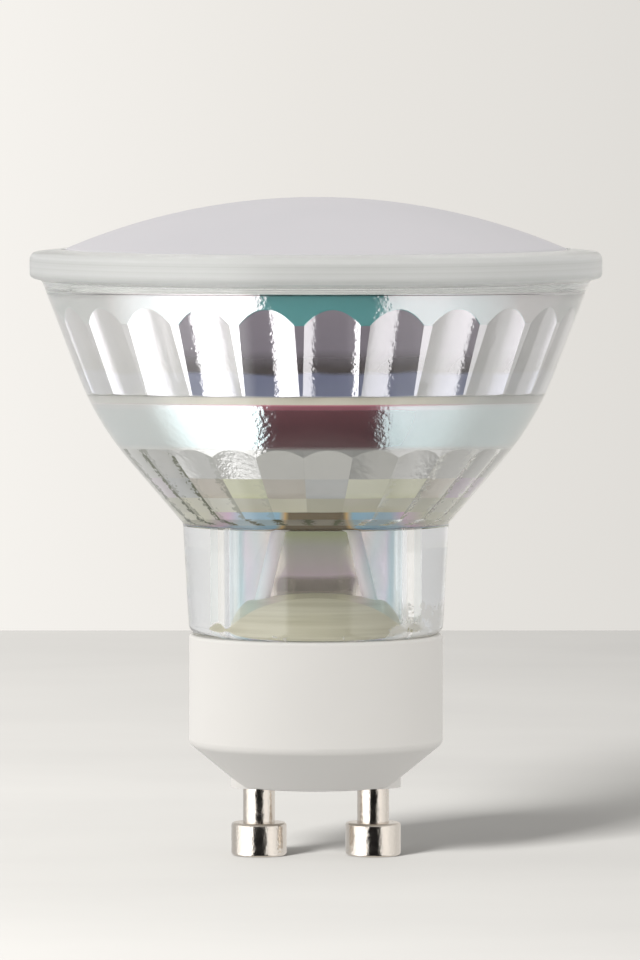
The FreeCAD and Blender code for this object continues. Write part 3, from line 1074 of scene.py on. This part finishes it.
# %% Cement smears
SMEAR_LEVEL = 0.74
SMEAR_TONE = (0.80, 0.79, 0.75, 1)
smear_top = add_node(
    tree,
    "MapRange",
    Value=px,
    From_Min=5.0 * MM,
    From_Max=9.5 * MM,
    To_Min=(Z_FOOT + 1.2) * MM,
    To_Max=(Z_FOOT + 4.4) * MM,
).outputs[0]
below_top = maths(tree, "SUBTRACT", smear_top, pz)
smear_depth = share_of(tree, below_top, 0.0, 2.0 * MM)
smear_noise = noise(tree, place, 900.0, 4.0, 0.7)
smear_level = maths(tree, "MULTIPLY_ADD", smear_depth, 0.3, smear_noise)
smeared = maths(tree, "GREATER_THAN", smear_level, SMEAR_LEVEL)
on_outside = maths(tree, "GREATER_THAN", radius, 9.8 * MM)
near_foot = maths(tree, "GREATER_THAN", below_top, 0.0)
smear = all_of(tree, smeared, on_outside, near_foot, 0.6)
smear_crust = add_node(tree, "BsdfPrincipled", Base_Color=SMEAR_TONE, Roughness=0.6)
smudged = mix_shaders(tree, smear, with_slot, smear_crust)
finish_with(tree, mix_shaders(tree, filmed, smudged, film))
glass.data.materials.clear()
glass.data.materials.append(glass_finish)
print("glass finish with", len(tree.nodes), "nodes")

# %% [markdown]
# Cement in the foot
#
# Cement fills the hollow in the neck and the mouth of the base, and a thin squeeze of it
# lies between the glass and the base. Cement wets the glass, so there is no air between
# them: the piece is turned a hair larger than the hollow, and the glass then shows its face
# directly instead of a mirror of trapped air.

# %% Cement
WETTING = 0.03
CEMENT_DEPTH = 1.85
BASE_BORE = 9.4
SQUEEZE_RADIUS = 10.3
CEMENT_STEPS = 180
CEMENT_CREASE = 20.0
cement = lathe(
    "cement_plug",
    [
        (0, Z_FOOT - CEMENT_DEPTH),
        (BASE_BORE, Z_FOOT - CEMENT_DEPTH),
        (BASE_BORE, Z_FOOT),
        (SQUEEZE_RADIUS, Z_FOOT),
        (SQUEEZE_RADIUS, Z_FOOT + WETTING),
    ]
    + dome_profile(WETTING)[1:],
    CEMENT_STEPS,
)
bpy.ops.object.shade_smooth_by_angle(angle=math.radians(CEMENT_CREASE))
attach(cement, "root")
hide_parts("base_cement")
print("cement with", len(cement.data.polygons), "faces")

# %% [markdown]
# Finish of the cement
#
# The cement was poured in and set in layers, so it is yellowish with fine level streaks. A
# noise that is squeezed flat along the height gives the streaks, and the same noise lifts
# the surface a little.

# %% Cement finish
STREAKS = (90.0, 90.0, 2600.0)
cement_finish, tree = new_finish("cast_cement")
place = add_node(tree, "TexCoord").outputs["Object"]
layered = add_node(tree, "Mapping", Vector=place, Scale=STREAKS).outputs[0]
streak = noise(tree, layered, 1.0, 4.0)
cement_colour = add_ramp(tree, streak, [(0.32, (0.62, 0.59, 0.44)), (0.68, (0.76, 0.73, 0.58))])
shader = add_node(
    tree,
    "BsdfPrincipled",
    Base_Color=cement_colour,
    Roughness=0.45,
    Normal=bumped(tree, streak, 0.3, 0.1 * MM),
)
finish_with(tree, shader)
cement.data.materials.clear()
cement.data.materials.append(cement_finish)
print("cement finish ready")

# %% [markdown]
# Opal cover
#
# The cover is frosted plastic that spreads the light. Real light through a frosted wall is
# slow to render and noisy, and the bulb is off, so a matte face with a faint bluish tone and
# a very fine grain looks the same.

# %% Opal finish
opal_finish, tree = new_finish("opal_cover")
place = add_node(tree, "TexCoord").outputs["Object"]
frost = noise(tree, place, 4000.0, 2.0)
cloud = noise(tree, place, 60.0, 2.0)
opal_colour = add_ramp(tree, cloud, [(0.3, (0.62, 0.61, 0.635)), (0.7, (0.65, 0.635, 0.66))])
shader = add_node(
    tree,
    "BsdfPrincipled",
    Base_Color=opal_colour,
    Roughness=0.6,
    Specular_IOR_Level=0.3,
    Normal=bumped(tree, frost, 0.1, 0.02 * MM),
)
finish_with(tree, shader)
print("opal finish ready")

# %% [markdown]
# White base
#
# The base is moulded heat-resistant plastic, matte and slightly warm. The mould leaves a fine
# grain. A plain white would look like paint, so two close tones are mixed by a soft noise.

# %% Base finish
base_finish, tree = new_finish("moulded_white")
place = add_node(tree, "TexCoord").outputs["Object"]
grain = noise(tree, place, 2500.0, 3.0)
cloud = noise(tree, place, 90.0, 3.0)
white = add_ramp(tree, cloud, [(0.3, (0.845, 0.825, 0.79)), (0.7, (0.865, 0.845, 0.81))])
shader = add_node(
    tree,
    "BsdfPrincipled",
    Base_Color=white,
    Roughness=0.55,
    Specular_IOR_Level=0.3,
    Normal=bumped(tree, grain, 0.12, 0.03 * MM),
)
finish_with(tree, shader)
print("base finish ready")

# %% [markdown]
# Plated pins
#
# The pins are turned and nickel plated: satin bright and slightly warm, with small scuffs
# from handling. A perfect mirror would show the strips of the studio as hard lines, so the
# scuffs vary the roughness and a fine pitting breaks the reflections.

# %% Pin finish
PIN_COLOUR = (0.70, 0.64, 0.57, 1)
pin_finish, tree = new_finish("nickel_plate")
place = add_node(tree, "TexCoord").outputs["Object"]
scuffs = noise(tree, place, 900.0, 5.0)
rough = add_node(
    tree, "MapRange", Value=scuffs, From_Min=0.35, From_Max=0.75, To_Min=0.14, To_Max=0.30
).outputs[0]
pitted = noise(tree, place, 3600.0, 2.0)
shader = add_node(
    tree,
    "BsdfPrincipled",
    Base_Color=PIN_COLOUR,
    Metallic=1.0,
    Roughness=rough,
    Normal=bumped(tree, pitted, 0.5, 0.06 * MM),
)
finish_with(tree, shader)
print("pin finish ready")

# %% [markdown]
# Plain mottled finishes
#
# The wires and everything hidden in the base and under the cover are plain moulded,
# lacquered or plated surfaces. They share one recipe: two close tones mixed by a soft
# noise, with a fine grain in the surface. Only the tones and the gloss differ, so one
# function makes them all.


# %% Mottled finishes
def mottled(name, dark, light, scale, **settings):
    """A finish of two close tones; the tree, the coordinates and the shader come with it."""
    finish, tree = new_finish(name)
    place = add_node(tree, "TexCoord").outputs["Object"]
    cloud = noise(tree, place, scale, 3.0)
    colour = add_ramp(tree, cloud, [(0.35, dark), (0.65, light)])
    grain = bumped(tree, noise(tree, place, 12 * scale, 2.0), 0.2, 0.02 * MM)
    shader = add_node(tree, "BsdfPrincipled", Base_Color=colour, Normal=grain, **settings)
    finish_with(tree, shader)
    return finish, tree, place, shader


def plain(name, dark, light, scale, **settings):
    return mottled(name, dark, light, scale, **settings)[0]


wire_finish = plain("wire_cover", (0.90, 0.90, 0.88), (0.95, 0.945, 0.93), 300.0, Roughness=0.35)
seal_finish = plain(
    "silicone_bead", (0.70, 0.70, 0.68), (0.80, 0.80, 0.78), 200.0, Roughness=0.4
)
light_board_finish = plain(
    "white_lacquer", (0.84, 0.84, 0.83), (0.90, 0.90, 0.89), 150.0, Roughness=0.3
)
circuit_finish = plain(
    "green_lacquer", (0.02, 0.12, 0.05), (0.03, 0.20, 0.08), 400.0, Roughness=0.3
)
package_finish = plain(
    "black_epoxy", (0.015, 0.015, 0.016), (0.03, 0.03, 0.032), 500.0, Roughness=0.5
)
lead_finish = plain(
    "tinned_lead", (0.62, 0.61, 0.60), (0.74, 0.73, 0.72), 600.0, Roughness=0.25, Metallic=1.0
)
print("mottled finishes ready")

# %% [markdown]
# Light packages
#
# Each light package is a white frame round a pool of yellow phosphor. The eight of them
# stand in a ring, so the turn about the axis is folded into one eighth, and the distance
# from the middle of that eighth tells the pool from the frame. One finish then fits all
# eight, and no pool needs a mesh of its own.

# %% Light package finish
LED_COUNT = 8
LED_RING = 13.2
POOL_RADIUS = 1.12
PHOSPHOR = (0.86, 0.62, 0.07, 1)
led_finish, tree, place, shader = mottled(
    "light_package", (0.80, 0.79, 0.76), (0.88, 0.87, 0.84), 400.0, Roughness=0.4
)
lx, ly = add_node(tree, "SeparateXYZ", Vector=place).outputs[:2]
eighths = maths(tree, "MULTIPLY", maths(tree, "ARCTAN2", ly, lx), LED_COUNT / (2 * math.pi))
folded = maths(tree, "SUBTRACT", maths(tree, "FRACT", eighths), 0.5)
fold_turn = maths(tree, "MULTIPLY", folded, 2 * math.pi / LED_COUNT)
led_radius = flat_distance(tree, lx, ly)
outwards = maths(tree, "MULTIPLY", led_radius, maths(tree, "COSINE", fold_turn))
along = maths(tree, "SUBTRACT", outwards, LED_RING * MM)
aside = maths(tree, "MULTIPLY", led_radius, maths(tree, "SINE", fold_turn))
in_pool = maths(tree, "LESS_THAN", flat_distance(tree, along, aside), POOL_RADIUS * MM)
frame_colour = shader.inputs["Base Color"].links[0].from_socket
pool_colour = blend(tree, in_pool, frame_colour, PHOSPHOR)
tree.links.new(pool_colour, shader.inputs["Base Color"])
print("light package finish for", LED_COUNT, "packages")

# %% [markdown]
# Driver parts with bands
#
# Three driver parts change colour along their length: the capacitor has a dark sleeve and
# a bare top, the choke a copper winding between two ferrite cheeks, and the resistor plain
# rings. The pieces could be split at the borders, but they are hidden, and a ramp along each
# piece is enough. Their places are read from the boxes of the CAD pieces.


# %% Banded finishes
def along_piece(tree, place, node, axis):
    """Share of the way along a piece, from 0 to 1, on one axis."""
    low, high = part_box(node)
    axis_number = "XYZ".index(axis)
    way = add_node(tree, "SeparateXYZ", Vector=place).outputs[axis]
    return share_of(tree, way, low[axis_number], high[axis_number])


def banded_finish(name, node, axis, bands, **settings):
    finish, tree, place, shader = mottled(name, grey(0.86), grey(1.0), 500.0, **settings)
    mottle = shader.inputs["Base Color"].links[0].from_socket
    band = add_ramp(tree, along_piece(tree, place, node, axis), bands, "CONSTANT")
    multiplied = {"data_type": "RGBA", "blend_type": "MULTIPLY"}
    mixed = add_node(tree, "Mix", multiplied, i0=1.0, i6=band, i7=mottle)
    tree.links.new(mixed.outputs[2], shader.inputs["Base Color"])
    return finish


SLEEVE = (0.03, 0.03, 0.05)
BARE_METAL = (0.70, 0.70, 0.71)
FERRITE = (0.05, 0.05, 0.055)
COPPER = (0.62, 0.25, 0.10)
BODY_GREEN = (0.30, 0.42, 0.36)
RING_BROWN = (0.16, 0.06, 0.03)
can_bands = [(0.0, SLEEVE), (0.94, BARE_METAL)]
choke_bands = [(0.0, FERRITE), (0.167, COPPER), (0.833, FERRITE)]
resistor_bands = [
    (0.0, BARE_METAL),
    (0.16, BODY_GREEN),
    (0.28, RING_BROWN),
    (0.36, BODY_GREEN),
    (0.46, RING_BROWN),
    (0.54, BODY_GREEN),
    (0.64, RING_BROWN),
    (0.72, BODY_GREEN),
    (0.84, BARE_METAL),
]
can_finish = banded_finish(
    "sleeved_can", "smoothing_capacitor", "Z", can_bands, Roughness=0.35
)
choke_finish = banded_finish("wound_ferrite", "choke", "Z", choke_bands, Roughness=0.4)
resistor_finish = banded_finish(
    "ringed_resistor", "fuse_resistor", "X", resistor_bands, Roughness=0.4
)
print("banded finishes ready")

# %% [markdown]
# Dressing the CAD pieces
#
# The other pieces have their true shape in the CAD model already. They keep their meshes and
# places and take the finishes in their own slots.

# %% Put the finishes on
FINISHES = {
    "diffuser_cover": opal_finish,
    "cover_seal": seal_finish,
    "base_cap": base_finish,
    "contact_pin_left": pin_finish,
    "contact_pin_right": pin_finish,
    "lead_wire_left": wire_finish,
    "lead_wire_right": wire_finish,
    "led_board": light_board_finish,
    "driver_board": circuit_finish,
    "bridge_rectifier": package_finish,
    "driver_chip": package_finish,
    "smoothing_capacitor": can_finish,
    "choke": choke_finish,
    "fuse_resistor": resistor_finish,
    "input_lead_left": lead_finish,
    "input_lead_right": lead_finish,
}
for k in range(LED_COUNT):
    FINISHES["led_" + str(k + 1)] = led_finish
for node, finish in FINISHES.items():
    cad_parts[node].material_slots[0].material = finish
print("dressed", len(FINISHES), "pieces")
